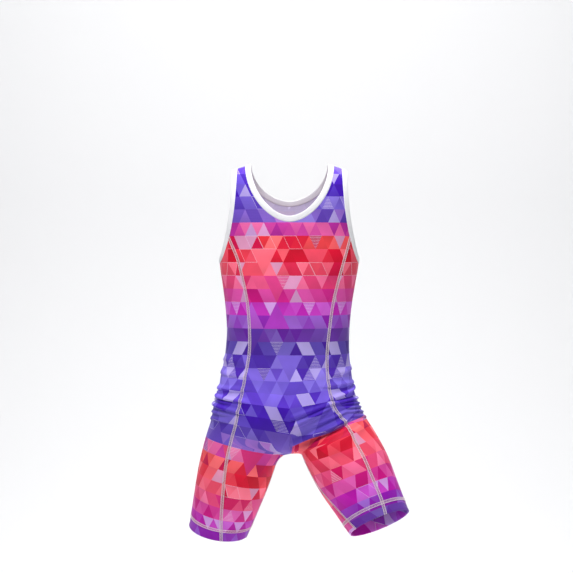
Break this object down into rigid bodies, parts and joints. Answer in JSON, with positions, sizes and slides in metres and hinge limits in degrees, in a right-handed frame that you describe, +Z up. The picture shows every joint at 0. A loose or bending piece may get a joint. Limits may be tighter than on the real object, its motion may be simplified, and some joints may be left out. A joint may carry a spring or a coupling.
{
  "type": "powerlifting singlet",
  "caption": "Sleeveless knit one-piece worn in a wide stance: scoop neck with bound edge, bound armholes, curved side panels and short thigh-length legs, hollow and open at every edge.",
  "frame": {"origin": "between the two shoulder straps, at the top of the shoulders that hold them up", "axes": "+Z up, front facing -Y, the wearer's left towards +X"},
  "size_m": [0.3183, 0.1684, 0.5474],
  "materials": {
    "printed_knit": "smooth stretch knit with a printed mosaic of triangles in violet, red, pink and magenta bands",
    "binding_tape": "matt white knit tape"
  },
  "bodies": {
    "root": {"front_panel": "printed_knit", "back_panel": "printed_knit", "side_panel_right": "printed_knit", "side_panel_left": "printed_knit", "neck_binding": "binding_tape", "armhole_binding_right": "binding_tape", "armhole_binding_left": "binding_tape"}
  },
  "joints": []
}
